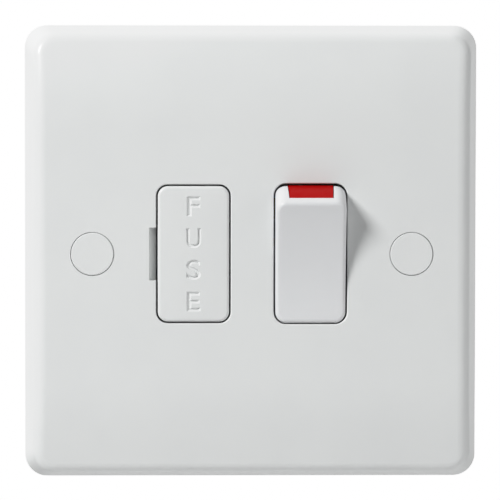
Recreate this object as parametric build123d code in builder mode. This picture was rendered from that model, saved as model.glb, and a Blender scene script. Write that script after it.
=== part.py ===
from build123d import *
from math import acos, asin, atan2, cos, degrees, radians, sin, sqrt, tan
import os

# A switched fused connection unit: a flush single-gang plate with a double-pole rocker,
# a pull-out fuse carrier, and the housing, contacts and terminals behind them.
# Sizes are in millimetres and angles in degrees. X runs to the right as the face is seen,
# Y runs back into the wall and Z is up. The wall plane is Y = 0, and the origin lies
# midway between the two fixing screws. The rocker is modelled switched on.

# Front plate
plate_size = 86.0
plate_projection = 9.5
plate_corner_radius = 4.2
plate_edge_radius = 2.4
plate_draft = 12.5
plate_wall = 2.4
crown_start = 25.0
crown_radius = 62.0
opening_edge_radius = 0.25
plate_rib_length = 5.0
plate_rib_height = 3.6
plate_rib_thickness = 1.4
plate_rib_spacing = 50.0
module_offset = 11.05
panel_gap = 0.3
moulding_fit = 0.15

# Fixing screws, the collars that seat them and their cover caps
fixing_centres = 60.3
fixing_screw_radius = 1.75
fixing_neck_radius = 1.55
thread_setback = 0.2
fixing_screw_length = 25.0
fixing_head_radius = 3.3
fixing_hole_radius = 2.1
fixing_seat_depth = 5.0
fixing_seat_gap = 0.04
screw_slot_width = 0.9
screw_slot_depth = 0.8
screw_tip_chamfer = 0.6
collar_radius = 5.6
collar_setback = 0.8
cap_radius = 4.05
cap_gap = 0.1
cap_depth = 3.0
cap_face = 1.2
cap_skirt = 0.9
cap_edge_chamfer = 0.15

# Rocker
rocker_width = 13.3
rocker_height = 6.74
rocker_end_radius = 13.45
rocker_throw = 13.2
rocker_dish = 1.25
rocker_proud = 0.1
rocker_corner_radius = 2.0
rocker_edge_radius = 0.8
rocker_wall = 1.8
rocker_skirt = 1.0
rocker_belly = 2.6
rocker_belly_half = 4.0
trunnion_radius = 1.25
trunnion_length = 1.7
trunnion_clearance = 0.05
bearing_wall = 1.6
bearing_half_height = 5.0
bearing_cover = 1.3
flash_width = 8.6
flash_taper = 5.0
flash_depth = 1.0
flash_recess = 0.15
flash_gap = 0.12
flash_start = 6.5
flash_sweep = 24.3

# Spring plungers in the rocker
pole_spacing = 6.8
plunger_radius = 1.5
plunger_clearance = 0.05
plunger_reach = 10.4
plunger_shoulder = 1.6
plunger_spigot_radius = 0.6
plunger_spigot_length = 1.4
sleeve_radius = 2.4
sleeve_end = 6.5
spring_seat = 3.8
spring_radius = 1.0
spring_wire = 0.22
spring_turns = 4.5

# Moving and fixed contacts
bar_swing = 11.0
bar_thickness = 1.2
bar_width = 4.0
bar_arm = 9.8
bar_tail = 6.5
bar_contact = 8.0
bar_clearance = 0.05
fulcrum_radius = 0.5
fulcrum_clearance = 0.05
tip_radius = 1.4
moving_tip_height = 0.7
fixed_tip_height = 0.9
fixed_tip_crown = 3.0
tip_gap = 0.03
strip_thickness = 0.8
strip_width = 4.0

# Fuse and its carrier
fuse_length = 25.4
fuse_cap_radius = 3.175
fuse_cap_length = 6.3
fuse_cap_wall = 0.2
fuse_cap_skirt = 0.205
fuse_fit = 0.02
fuse_barrel_radius = fuse_cap_radius - fuse_cap_skirt - fuse_fit
carrier_width = 13.5
carrier_end_cover = 0.125
carrier_height = fuse_length + 2 * carrier_end_cover
carrier_corner_radius = 1.9
carrier_edge_radius = 0.6
carrier_face = 2.2
carrier_fuse_gap = 0.7
carrier_wall = 1.2
carrier_skirt = 2.8
carrier_skirt_inset = 0.45
carrier_leg_half = 5.0
cradle_end_gap = 0.6
cradle_half_length = fuse_length / 2 - fuse_cap_length - cradle_end_gap
cradle_grip = 1.0
cradle_clearance = 0.06
hook_reach = 0.8
hook_length = 2.0
pry_lip = 1.4
pry_groove = 1.1
pry_groove_depth = 0.8
notch_width = 1.35
notch_depth = 2.0
notch_length = 10.0
notch_roll = 0.3
fork_thickness = 0.8
fork_gap = 0.05
fork_length = 5.0
fork_bend = 0.7
fork_grip = 1.6
fork_flare = 0.6
fork_mouth = 1.2

# Rear housing and terminals
housing_width = 50.0
housing_corner_radius = 2.0
housing_edge_radius = 0.8
housing_wall = 1.8
housing_floor = 2.4
housing_margin = 1.2
housing_seat_gap = 0.05
collar_scallop = 0.4
bay_wall = 1.6
bay_clearance = 0.25
contact_well_half_height = 11.5
shelf_clearance = 0.7
pole_barrier = 1.2
terminal_pitch = 15.0
terminal_width = 7.6
terminal_length = 9.5
terminal_chamfer = 0.5
terminal_seat = 3.0
tail_length = 3.0
conductor_radius = 2.3
conductor_depth = 8.2
conductor_web = 0.4
clamp_screw_radius = 1.75
clamp_screw_clearance = 0.05
clamp_thread = 3.0
clamp_head_radius = 2.9
clamp_head_height = 2.0
clamp_backed_out = 0.5
clamp_tip_gap = 0.2
terminal_guard = 2.6
earth_strap_thickness = 1.0
earth_strap_width = 5.0
column_x = 7.5
boss_radius = 3.0
boss_setback = 1.0
assembly_screw_radius = 1.4
assembly_screw_length = 7.0
assembly_screw_fit = 0.04
assembly_hole_gap = 0.2
assembly_head_radius = 2.3
assembly_head_height = 1.6
assembly_head_gap = 0.3
assembly_web = 2.2

# Places that follow from the sizes above
switch_x = module_offset
fuse_x = -module_offset
live_pole_x = switch_x - pole_spacing / 2
neutral_pole_x = switch_x + pole_spacing / 2
front_y = -plate_projection
face_back_y = front_y + plate_wall
throw = radians(rocker_throw)
swing = radians(bar_swing)
rocker_arm = sqrt(rocker_end_radius**2 - rocker_height**2)
pivot_y = front_y + rocker_height * cos(throw) - rocker_arm * sin(throw) - rocker_proud
rocker_opening_half = rocker_width / 2 + panel_gap
bearing_end_y = pivot_y + trunnion_radius + bearing_cover
shelf_y = pivot_y + rocker_belly * cos(throw) + rocker_belly_half * sin(throw) + shelf_clearance
bar_y = pivot_y + plunger_reach + bar_clearance + bar_thickness
tip_y = bar_y + bar_contact * sin(swing) + moving_tip_height * cos(swing)
tip_z = bar_contact * cos(swing) - moving_tip_height * sin(swing)
fixed_tip_y = tip_y + (fixed_tip_crown + tip_gap) / cos(swing) - fixed_tip_crown
strip_top_y = fixed_tip_y + fixed_tip_height
floor_y = strip_top_y + strip_thickness
central_back_y = floor_y + housing_floor
carrier_back_y = front_y + carrier_face
fuse_y = carrier_back_y + carrier_fuse_gap + fuse_cap_radius
carrier_leg_end_y = strip_top_y - panel_gap
fork_z = fuse_length / 2 - fuse_cap_length / 2
opening_width = carrier_width + 2 * panel_gap
opening_height = carrier_height + 2 * panel_gap
row_inner_z = opening_height / 2 + bay_wall
terminal_z = row_inner_z + terminal_length / 2
terminal_outer_z = row_inner_z + terminal_length
housing_half_height = terminal_outer_z + housing_margin
inner_crown_radius = crown_radius - plate_wall
crown_overhang = max(housing_half_height - crown_start, 0)
crown_fall = inner_crown_radius - sqrt(inner_crown_radius**2 - crown_overhang**2)
housing_front_y = face_back_y + max(housing_seat_gap, crown_fall)
bay_floor_y = floor_y - terminal_seat
conductor_y = floor_y + conductor_web + conductor_radius
terminal_back_y = conductor_y + conductor_radius + clamp_thread
housing_back_y = terminal_back_y + terminal_guard
collar_end_y = -collar_setback
boss_end_y = -boss_setback
assembly_seat_y = boss_end_y + assembly_web
seat_y = front_y + fixing_seat_depth
earth_x = -terminal_pitch
tail_z = row_inner_z + tail_length

# The two poles and the strip tails that feed the terminals
poles = {"live": live_pole_x, "neutral": neutral_pole_x}
terminal_places = {"earth": -terminal_pitch, "live": 0.0, "neutral": terminal_pitch}
tail_places = {"live": 0.0, "neutral": neutral_pole_x}
rows = {"supply": 1, "load": -1}

# Plan routes of the flat strips, as (X, Z) points on the housing's floor
live_feed_route = [
    (tail_places["live"], tail_z),
    (tail_places["live"], tip_z),
    (live_pole_x + strip_width / 2, tip_z),
]
neutral_feed_route = [(neutral_pole_x, tail_z), (neutral_pole_x, tip_z - strip_width / 2)]
live_link_route = [
    (live_pole_x + strip_width / 2, 0),
    (fuse_x, 0),
    (fuse_x, fork_z + fork_length / 2),
]
neutral_load_route = [(neutral_pole_x, -tail_z), (neutral_pole_x, strip_width / 2)]
live_load_route = [
    (fuse_x - strip_width / 2, -fork_z),
    (tail_places["live"], -fork_z),
    (tail_places["live"], -tail_z),
]

os.makedirs("parts", exist_ok=True)


def front_plane(y):
    """A plane parallel to the wall, seen from the front: its axes are X and Z."""
    return Plane(origin=(0, y, 0), x_dir=(1, 0, 0), z_dir=(0, -1, 0))


def side_plane(x, y=0.0, lean=0.0):
    """A plane across the unit through (x, y): its axes are depth and height, leant about X."""
    return Plane(origin=(x, y, 0), x_dir=(0, cos(lean), sin(lean)), z_dir=(1, 0, 0))


def rocker_depth_plane(depth):
    """A plane square to the plungers, this far behind the rocker's pivot, facing the wall."""
    centre = side_plane(switch_x, pivot_y, throw).from_local_coords((depth, 0, 0))
    return Plane(origin=centre, x_dir=(1, 0, 0), z_dir=(0, cos(throw), sin(throw)))


def rim_point(angle, radius):
    """A point round the rocker's pivot, at an angle up from the way the rocker faces."""
    return (-radius * cos(angle), radius * sin(angle))


def strip_plan(route, width):
    """The plan of a flat strip of constant width along a route on the housing's floor."""
    with BuildSketch(front_plane(floor_y)) as plan:
        with BuildLine():
            Polyline(*route)
        trace(line_width=width)
    return plan.sketch


def flash_block(inner_radius, outer_radius, start, end, margin):
    """The red flash or its pocket: a sector round the rocker's pivot, narrower towards the face."""
    half = flash_width / 2 + margin
    foot_half = half - rocker_end_radius * tan(radians(flash_taper))
    middle = (start + end) / 2
    with BuildPart() as block:
        with BuildSketch(side_plane(switch_x, pivot_y, throw)):
            with BuildLine():
                inner = ThreePointArc(*(rim_point(a, inner_radius) for a in (start, middle, end)))
                outer = ThreePointArc(*(rim_point(a, outer_radius) for a in (start, middle, end)))
                Line(inner @ 0, outer @ 0)
                Line(inner @ 1, outer @ 1)
            make_face()
        extrude(amount=flash_width, both=True)
        with BuildSketch(front_plane(front_y)):
            with BuildLine():
                Polyline(
                    (switch_x - foot_half, 0),
                    (switch_x - half, rocker_end_radius),
                    (switch_x + half, rocker_end_radius),
                    (switch_x + foot_half, 0),
                    close=True,
                )
            make_face()
        extrude(amount=2 * rocker_end_radius, both=True, mode=Mode.INTERSECT)
    return block.part


# Front plate: a drafted square shell whose face rolls back towards its top and bottom
hollow_depth = plate_projection - plate_wall
hollow_size = plate_size - 2 * plate_wall
hollow_half_at_face = hollow_size / 2 - hollow_depth * tan(radians(plate_draft))


def drafted_block(size, depth, corner_radius):
    """A square block that narrows from the wall plane to the front by the plate's draft."""
    with BuildPart() as block:
        for y in (0, -depth):
            width = size + 2 * y * tan(radians(plate_draft)) if y else size
            with BuildSketch(front_plane(y)):
                RectangleRounded(width, width, corner_radius)
        loft()
    return block.part


def crowned_side(depth):
    """The side view of all that lies behind a surface this deep below the plate's face."""
    lean = asin((plate_size / 2 + panel_gap - crown_start) / crown_radius)
    radius = crown_radius - depth
    with BuildSketch(side_plane(0)) as side:
        with BuildLine():
            Line((front_y + depth, -crown_start), (front_y + depth, crown_start))
            upper = CenterArc((front_y + crown_radius, crown_start), radius, 180, -degrees(lean))
            lower = CenterArc((front_y + crown_radius, -crown_start), radius, 180, degrees(lean))
            Polyline(upper @ 1, (plate_wall, (upper @ 1).Y), (plate_wall, (lower @ 1).Y), lower @ 1)
        make_face()
    return side.sketch


def face_rim(part):
    """The outer edges of the plate's front faces."""
    fronts = part.faces().filter_by(lambda f: f.normal_at(f.center()).Y < -0.9 and f.center().Y < front_y / 2)
    long_edges = [e for e in fronts.edges() if e.length > plate_size / 2]
    seams = [e for e in long_edges if abs(abs(e.center().Z) - crown_start) < 0.01]
    return [e for e in fronts.edges() if not any(e.is_same(seam) for seam in seams)]


def opening_rims(part):
    """The front edges of the openings for the rocker and the fuse carrier."""
    face = part.faces().filter_by(Axis.Y).sort_by(Axis.Y)[0]
    return face.inner_wires().edges()


with BuildPart() as plate_hollow:
    add(drafted_block(hollow_size, hollow_depth, max(plate_corner_radius - plate_wall, 1.0)))
    extrude(crowned_side(plate_wall), amount=plate_size, both=True, mode=Mode.INTERSECT)

# The opening that the rocker turns in: a disc round the pivot, so the gap stays even
with BuildPart() as rocker_opening:
    with BuildSketch(side_plane(switch_x, pivot_y)):
        Circle(rocker_end_radius + panel_gap)
    extrude(amount=rocker_opening_half, both=True)
    fillet(rocker_opening.edges().filter_by(GeomType.CIRCLE), rocker_corner_radius + panel_gap)

with BuildPart() as front_plate:
    add(drafted_block(plate_size, plate_projection, plate_corner_radius))
    extrude(crowned_side(0), amount=plate_size, both=True, mode=Mode.INTERSECT)
    fillet(face_rim(front_plate.part), min(plate_edge_radius, 0.9 * plate_corner_radius))
    add(plate_hollow.part, mode=Mode.SUBTRACT)
    # Collars for the fixing screws
    with BuildSketch(front_plane(face_back_y)):
        with GridLocations(fixing_centres, 1, 2, 1):
            Circle(collar_radius)
    extrude(amount=face_back_y - collar_end_y)
    # Bosses for the assembly screws
    with BuildSketch(front_plane(face_back_y)):
        with GridLocations(2 * column_x, 2 * terminal_z, 2, 2):
            Circle(boss_radius)
    extrude(amount=face_back_y - boss_end_y)
    # Short ribs that stiffen the four sides
    with BuildSketch(front_plane(face_back_y)):
        with PolarLocations(hollow_half_at_face - plate_rib_length / 2, 4):
            with GridLocations(1, plate_rib_spacing, 1, 2):
                Rectangle(plate_rib_length + plate_wall, plate_rib_thickness)
    extrude(amount=-plate_rib_height)
    # Bearing walls beside the rocker, slotted from the rear for its trunnions
    for side in (-1, 1):
        bearing_side = side_plane(switch_x + side * rocker_opening_half)
        with BuildSketch(bearing_side):
            with Locations((face_back_y, 0)):
                Rectangle(
                    bearing_end_y - face_back_y,
                    2 * bearing_half_height,
                    align=(Align.MIN, Align.CENTER),
                )
        extrude(amount=side * bearing_wall)
        with BuildSketch(bearing_side):
            with Locations((pivot_y, 0)):
                Circle(trunnion_radius + trunnion_clearance)
                Rectangle(
                    bearing_end_y - pivot_y,
                    2 * (trunnion_radius + trunnion_clearance),
                    align=(Align.MIN, Align.CENTER),
                )
        extrude(amount=side * bearing_wall, mode=Mode.SUBTRACT)
    # Openings for the rocker and the fuse carrier
    add(rocker_opening.part, mode=Mode.SUBTRACT)
    with BuildSketch(front_plane(face_back_y)):
        with Locations((fuse_x, 0)):
            RectangleRounded(opening_width, opening_height, carrier_corner_radius + panel_gap)
    extrude(amount=plate_wall, mode=Mode.SUBTRACT)
    fillet(opening_rims(front_plate.part), opening_edge_radius)
    # Notch beside the carrier, with a rolled ramp for a screwdriver
    notch_edge_x = fuse_x - opening_width / 2
    with BuildSketch(Plane.XY):
        with BuildLine():
            ramp = SagittaArc(
                (notch_edge_x - notch_width, front_y),
                (notch_edge_x, front_y + notch_depth),
                notch_roll,
            )
            Polyline(
                ramp @ 1,
                (notch_edge_x + panel_gap, front_y + notch_depth),
                (notch_edge_x + panel_gap, front_y - panel_gap),
                (notch_edge_x - notch_width, front_y - panel_gap),
                ramp @ 0,
            )
        make_face()
    extrude(amount=notch_length / 2, both=True, mode=Mode.SUBTRACT)
    # Stepped recesses for the cover caps, with the countersunk holes below them
    with BuildSketch(front_plane(front_y)):
        with GridLocations(fixing_centres, 1, 2, 1):
            Circle(cap_radius + cap_gap)
    extrude(amount=-cap_depth, mode=Mode.SUBTRACT)
    with BuildSketch(front_plane(front_y)):
        with GridLocations(fixing_centres, 1, 2, 1):
            Circle(fixing_head_radius)
    extrude(amount=-fixing_seat_depth, mode=Mode.SUBTRACT)
    with Locations(front_plane(seat_y)):
        with GridLocations(fixing_centres, 1, 2, 1):
            CounterSinkHole(fixing_hole_radius, fixing_head_radius, counter_sink_angle=90)
    # Pilot holes in the bosses
    with Locations(Plane(origin=(0, boss_end_y, 0), x_dir=(1, 0, 0), z_dir=(0, 1, 0))):
        with GridLocations(2 * column_x, 2 * terminal_z, 2, 2):
            Hole(
                assembly_screw_radius + assembly_screw_fit,
                depth=min(assembly_screw_length - assembly_web + panel_gap, boss_end_y - face_back_y),
            )
front_plate.part.label = "front_plate"
export_step(front_plate.part, "parts/front_plate.step")

# Rear housing: a moulded box with two wells in front and two rows of terminal bays behind
bay_depth = housing_half_height - row_inner_z
core_width = 2 * (column_x - boss_radius - moulding_fit) - housing_wall

with BuildPart() as rear_housing:
    with BuildSketch(front_plane(housing_front_y)):
        RectangleRounded(housing_width, 2 * housing_half_height, housing_corner_radius)
    extrude(amount=housing_front_y - housing_back_y)
    # The middle of the back is lower than the terminal rows
    with BuildSketch(front_plane(central_back_y)):
        Rectangle(2 * housing_width, 2 * (row_inner_z - bay_wall))
    extrude(amount=central_back_y - housing_back_y, mode=Mode.SUBTRACT)
    fillet(rear_housing.faces().filter_by(Axis.Y).group_by(Axis.Y)[-1].edges(), housing_edge_radius)
    # Terminal bays, open to the rear and outwards
    with BuildSketch(front_plane(bay_floor_y)):
        with GridLocations(terminal_pitch, 2 * (row_inner_z + bay_depth), 3, 2):
            Rectangle(terminal_width + 2 * bay_clearance, 2 * bay_depth)
    extrude(amount=bay_floor_y - housing_back_y, mode=Mode.SUBTRACT)
    # Pockets that core out the front of the terminal rows
    with BuildSketch(front_plane(face_back_y)):
        with GridLocations(terminal_pitch, 2 * terminal_z, 3, 2):
            Rectangle(core_width, terminal_length - housing_wall)
    extrude(amount=face_back_y - bay_floor_y + housing_wall, mode=Mode.SUBTRACT)
    # Switch well: room for the rocker, then a narrower well for the contacts
    with BuildSketch(front_plane(face_back_y)):
        with Locations((switch_x, 0)):
            Rectangle(
                2 * (rocker_opening_half + bearing_wall + moulding_fit),
                2 * (rocker_end_radius + 2 * panel_gap),
            )
    extrude(amount=face_back_y - shelf_y, mode=Mode.SUBTRACT)
    with BuildSketch(front_plane(shelf_y)):
        with Locations((switch_x, 0)):
            Rectangle(2 * rocker_opening_half, 2 * contact_well_half_height)
            Rectangle(pole_barrier, 2 * contact_well_half_height, mode=Mode.SUBTRACT)
    extrude(amount=shelf_y - floor_y, mode=Mode.SUBTRACT)
    # Posts that close the bearing slots behind the trunnions
    for side in (-1, 1):
        with BuildSketch(side_plane(switch_x + side * (rocker_opening_half + bearing_wall / 2))):
            with Locations((pivot_y, 0)):
                Rectangle(
                    shelf_y - pivot_y + moulding_fit,
                    2 * (trunnion_radius - trunnion_clearance),
                    align=(Align.MIN, Align.CENTER),
                )
                Circle(trunnion_radius + trunnion_clearance, mode=Mode.SUBTRACT)
        extrude(amount=bearing_wall / 2 - moulding_fit / 2, both=True)
    # Fuse well, widened where the carrier's hooked legs run
    with BuildSketch(front_plane(face_back_y)):
        with Locations((fuse_x, 0)):
            Rectangle(opening_width, opening_height)
            Rectangle(
                carrier_width + 2 * (hook_reach + panel_gap),
                2 * (carrier_leg_half + panel_gap),
            )
    extrude(amount=face_back_y - floor_y, mode=Mode.SUBTRACT)
    # Channels for the strips, level with the wells' floor
    for route in (live_feed_route, neutral_feed_route, live_link_route, neutral_load_route, live_load_route):
        extrude(
            strip_plan(route, strip_width + 2 * moulding_fit),
            amount=strip_thickness + moulding_fit,
            mode=Mode.SUBTRACT,
        )
    # Notches for the earth strap
    with BuildSketch(front_plane(central_back_y)):
        with Locations((earth_x, 0)):
            Rectangle(earth_strap_width + 2 * moulding_fit, 2 * row_inner_z)
    extrude(amount=central_back_y - housing_back_y, mode=Mode.SUBTRACT)
    # Sockets, holes and counterbores at the assembly screws
    with BuildSketch(front_plane(face_back_y)):
        with GridLocations(2 * column_x, 2 * terminal_z, 2, 2):
            Circle(boss_radius + moulding_fit)
    extrude(amount=face_back_y - boss_end_y, mode=Mode.SUBTRACT)
    with BuildSketch(front_plane(face_back_y)):
        with GridLocations(2 * column_x, 2 * terminal_z, 2, 2):
            Circle(assembly_screw_radius + assembly_hole_gap)
    extrude(amount=face_back_y - housing_back_y, mode=Mode.SUBTRACT)
    with BuildSketch(front_plane(assembly_seat_y)):
        with GridLocations(2 * column_x, 2 * terminal_z, 2, 2):
            Circle(assembly_head_radius + assembly_head_gap)
    extrude(amount=assembly_seat_y - housing_back_y, mode=Mode.SUBTRACT)
    # Scallops that clear the plate's collars and the lugs behind them
    with BuildSketch(front_plane(face_back_y)):
        with GridLocations(fixing_centres, 1, 2, 1):
            Circle(collar_radius + collar_scallop)
    extrude(amount=face_back_y - housing_back_y, mode=Mode.SUBTRACT)
rear_housing.part.label = "rear_housing"
export_step(rear_housing.part, "parts/rear_housing.step")

# Cover caps over the fixing screws
for side, side_name in ((-1, "left"), (1, "right")):
    with BuildPart() as screw_cap:
        with BuildSketch(front_plane(front_y)):
            with Locations((side * fixing_centres / 2, 0)):
                Circle(cap_radius)
        extrude(amount=-cap_depth)
        chamfer(screw_cap.faces().sort_by(Axis.Y)[0].edges(), cap_edge_chamfer)
        with BuildSketch(front_plane(front_y + cap_face)):
            with Locations((side * fixing_centres / 2, 0)):
                Circle(cap_radius - cap_skirt)
        extrude(amount=cap_face - cap_depth, mode=Mode.SUBTRACT)
    screw_cap.part.label = f"{side_name}_screw_cap"
    export_step(screw_cap.part, f"parts/{side_name}_screw_cap.step")

# Fixing screws: slotted countersunk heads, a plain neck in the collar, then the thread
fixing_x = fixing_centres / 2
fixing_head_y = seat_y - fixing_seat_gap
fixing_tip_y = seat_y + fixing_screw_length
thread_start_y = collar_end_y + thread_setback
with BuildPart() as fixing_screws:
    with BuildSketch(Plane.XY):
        with BuildLine():
            Polyline(
                (fixing_x, fixing_head_y),
                (fixing_x + fixing_head_radius - fixing_seat_gap, fixing_head_y),
                (fixing_x + fixing_neck_radius, fixing_head_y + fixing_head_radius - fixing_neck_radius),
                (fixing_x + fixing_neck_radius, thread_start_y),
                (fixing_x + fixing_screw_radius, thread_start_y),
                (fixing_x + fixing_screw_radius, fixing_tip_y - screw_tip_chamfer),
                (fixing_x + fixing_screw_radius - screw_tip_chamfer, fixing_tip_y),
                (fixing_x, fixing_tip_y),
                close=True,
            )
        make_face()
    revolve(axis=Axis((fixing_x, 0, 0), (0, 1, 0)))
    with BuildSketch(front_plane(fixing_head_y)):
        with Locations((fixing_x, 0)):
            Rectangle(screw_slot_width, 3 * fixing_head_radius)
    extrude(amount=-screw_slot_depth, mode=Mode.SUBTRACT)
    mirror(about=Plane.YZ)
fixing_screws.part.label = "fixing_screws"
export_step(fixing_screws.part, "parts/fixing_screws.step")

# Assembly screws: pan heads that hold the housing to the plate's bosses
with BuildPart() as assembly_screws:
    with BuildSketch(front_plane(assembly_seat_y)):
        with GridLocations(2 * column_x, 2 * terminal_z, 2, 2):
            Circle(assembly_head_radius)
    extrude(amount=-assembly_head_height)
    chamfer(assembly_screws.faces().filter_by(Axis.Y).group_by(Axis.Y)[-1].edges(), assembly_head_height / 3)
    with BuildSketch(front_plane(assembly_seat_y)):
        with GridLocations(2 * column_x, 2 * terminal_z, 2, 2):
            Circle(assembly_screw_radius)
    extrude(amount=min(assembly_screw_length, assembly_seat_y - face_back_y - panel_gap))
    with BuildSketch(front_plane(assembly_seat_y + assembly_head_height)):
        with GridLocations(2 * column_x, 2 * terminal_z, 2, 2):
            Rectangle(1.4 * assembly_head_radius, screw_slot_width)
            Rectangle(screw_slot_width, 1.4 * assembly_head_radius)
    extrude(amount=screw_slot_depth, mode=Mode.SUBTRACT)
assembly_screws.part.label = "assembly_screws"
export_step(assembly_screws.part, "parts/assembly_screws.step")

# Rocker: a hollow lever with a dished face and ends round its pivot
peak_angle = atan2(rocker_arm, rocker_height)
skirt_angle = acos(rocker_skirt / rocker_end_radius)
rocker_side = side_plane(switch_x, pivot_y, throw)
cavity_front = rocker_height - rocker_dish - rocker_wall
flash_first = peak_angle + radians(flash_start)
flash_last = flash_first + radians(flash_sweep)
flash_floor_radius = rocker_end_radius - flash_depth
flash_gap_angle = flash_gap / rocker_end_radius

with BuildPart() as rocker:
    with BuildSketch(rocker_side):
        with BuildLine():
            for end in (-1, 1):
                ThreePointArc(
                    *(
                        rim_point(end * angle, rocker_end_radius)
                        for angle in (peak_angle, (peak_angle + skirt_angle) / 2, skirt_angle)
                    )
                )
            ThreePointArc(
                rim_point(-peak_angle, rocker_end_radius),
                (rocker_dish - rocker_height, 0),
                rim_point(peak_angle, rocker_end_radius),
            )
            Polyline(
                rim_point(-skirt_angle, rocker_end_radius),
                (rocker_belly, -rocker_belly_half),
                (rocker_belly, rocker_belly_half),
                rim_point(skirt_angle, rocker_end_radius),
            )
        make_face()
    extrude(amount=rocker_width / 2, both=True)
    end_edges = rocker.edges().filter_by(GeomType.CIRCLE)
    fillet(end_edges.filter_by(lambda e: abs(e.radius - rocker_end_radius) < 0.001), rocker_corner_radius)
    dished_face = rocker.faces().filter_by(GeomType.CYLINDER).sort_by(SortBy.RADIUS)[-1]
    fillet(dished_face.edges(), rocker_edge_radius)
    # Hollow underside
    with BuildSketch(rocker_side):
        Circle(rocker_end_radius - rocker_wall)
        with Locations((-cavity_front, 0)):
            Rectangle(
                rocker_end_radius,
                2 * rocker_end_radius,
                align=(Align.MAX, Align.CENTER),
                mode=Mode.SUBTRACT,
            )
    extrude(amount=rocker_width / 2 - rocker_wall, both=True, mode=Mode.SUBTRACT)
    # Sleeves for the plungers, blind at the front where the springs seat
    with BuildSketch(rocker_depth_plane(-cavity_front)):
        with GridLocations(pole_spacing, 1, 2, 1):
            Circle(sleeve_radius)
    extrude(amount=cavity_front + sleeve_end)
    with BuildSketch(rocker_depth_plane(-spring_seat)):
        with GridLocations(pole_spacing, 1, 2, 1):
            Circle(plunger_radius + plunger_clearance)
    extrude(amount=spring_seat + sleeve_end, mode=Mode.SUBTRACT)
    # Trunnions
    for side in (-1, 1):
        with BuildSketch(rocker_side.offset(side * rocker_width / 2)):
            Circle(trunnion_radius)
        extrude(amount=side * trunnion_length)
    # Pocket for the red flash in the end that stands out when switched on
    add(
        flash_block(flash_floor_radius, rocker_end_radius + flash_depth, flash_first, flash_last, flash_gap),
        mode=Mode.SUBTRACT,
    )
rocker.part.label = "rocker"
export_step(rocker.part, "parts/rocker.step")

with BuildPart() as rocker_flash:
    add(
        flash_block(
            flash_floor_radius,
            rocker_end_radius - flash_recess,
            flash_first + flash_gap_angle,
            flash_last - flash_gap_angle,
            0,
        )
    )
rocker_flash.part.label = "rocker_flash"
export_step(rocker_flash.part, "parts/rocker_flash.step")

# Plungers and their springs, then the contact bars that they tip
spring_length = spring_seat + plunger_shoulder - 2 * spring_wire
for pole, pole_x in poles.items():
    plunger_side = side_plane(pole_x, pivot_y, throw)
    plunger_axis = Axis(plunger_side.origin, plunger_side.x_dir)
    with BuildPart() as plunger:
        with BuildSketch(plunger_side):
            with BuildLine():
                nose = CenterArc((plunger_reach - plunger_radius, 0), plunger_radius, 0, 90)
                Polyline(
                    nose @ 1,
                    (plunger_shoulder, plunger_radius),
                    (plunger_shoulder, plunger_spigot_radius),
                    (plunger_shoulder - plunger_spigot_length, plunger_spigot_radius),
                    (plunger_shoulder - plunger_spigot_length, 0),
                    nose @ 0,
                )
            make_face()
        revolve(axis=plunger_axis)
    plunger.part.label = f"{pole}_plunger"
    export_step(plunger.part, f"parts/{pole}_plunger.step")

    spring_foot = plunger_side.from_local_coords((spring_wire - spring_seat, 0, 0))
    with BuildPart() as plunger_spring:
        with BuildLine() as coil:
            Helix(
                pitch=spring_length / spring_turns,
                height=spring_length,
                radius=spring_radius,
                center=spring_foot,
                direction=plunger_side.x_dir,
            )
        with BuildSketch(Plane(origin=coil.line @ 0, z_dir=coil.line % 0)):
            RegularPolygon(spring_wire, 8)
        sweep()
    plunger_spring.part.label = f"{pole}_plunger_spring"
    export_step(plunger_spring.part, f"parts/{pole}_plunger_spring.step")

    bar_side = side_plane(pole_x, bar_y, -swing)
    with BuildPart() as contact_bar:
        with BuildSketch(bar_side):
            with Locations((-bar_thickness / 2, (bar_arm - bar_tail) / 2)):
                Rectangle(bar_thickness, bar_arm + bar_tail)
            Circle(fulcrum_radius + fulcrum_clearance, mode=Mode.SUBTRACT)
        extrude(amount=bar_width / 2, both=True)
        fillet(contact_bar.edges().filter_by(Axis(bar_side.origin, bar_side.x_dir)), bar_width / 4)
    contact_bar.part.label = f"{pole}_contact_bar"
    export_step(contact_bar.part, f"parts/{pole}_contact_bar.step")

    tip_seat = bar_side.from_local_coords((0, bar_contact, 0))
    with BuildPart() as moving_tip:
        with BuildSketch(Plane(origin=tip_seat, x_dir=(1, 0, 0), z_dir=bar_side.x_dir)):
            Circle(tip_radius)
        extrude(amount=moving_tip_height)
        chamfer(moving_tip.edges().filter_by(GeomType.CIRCLE).sort_by(Axis.Y)[-1], moving_tip_height / 4)
    moving_tip.part.label = f"{pole}_moving_tip"
    export_step(moving_tip.part, f"parts/{pole}_moving_tip.step")

# Fixed contacts: strips from the supply terminals, each with a crowned tip
for pole, route in (("live", live_feed_route), ("neutral", neutral_feed_route)):
    with BuildPart() as fixed_contact:
        extrude(strip_plan(route, strip_width), amount=strip_thickness)
    fixed_contact.part.label = f"{pole}_fixed_contact"
    export_step(fixed_contact.part, f"parts/{pole}_fixed_contact.step")

crown_drop = fixed_tip_crown - sqrt(fixed_tip_crown**2 - tip_radius**2)
with BuildPart() as fixed_contact_tips:
    for pole_x in poles.values():
        with BuildSketch(side_plane(pole_x)):
            with BuildLine():
                crown = RadiusArc(
                    (fixed_tip_y, tip_z),
                    (fixed_tip_y + crown_drop, tip_z + tip_radius),
                    fixed_tip_crown,
                )
                Polyline(crown @ 1, (strip_top_y, tip_z + tip_radius), (strip_top_y, tip_z), crown @ 0)
            make_face()
        revolve(axis=Axis((pole_x, 0, tip_z), (0, 1, 0)))
fixed_contact_tips.part.label = "fixed_contact_tips"
export_step(fixed_contact_tips.part, "parts/fixed_contact_tips.step")

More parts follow.
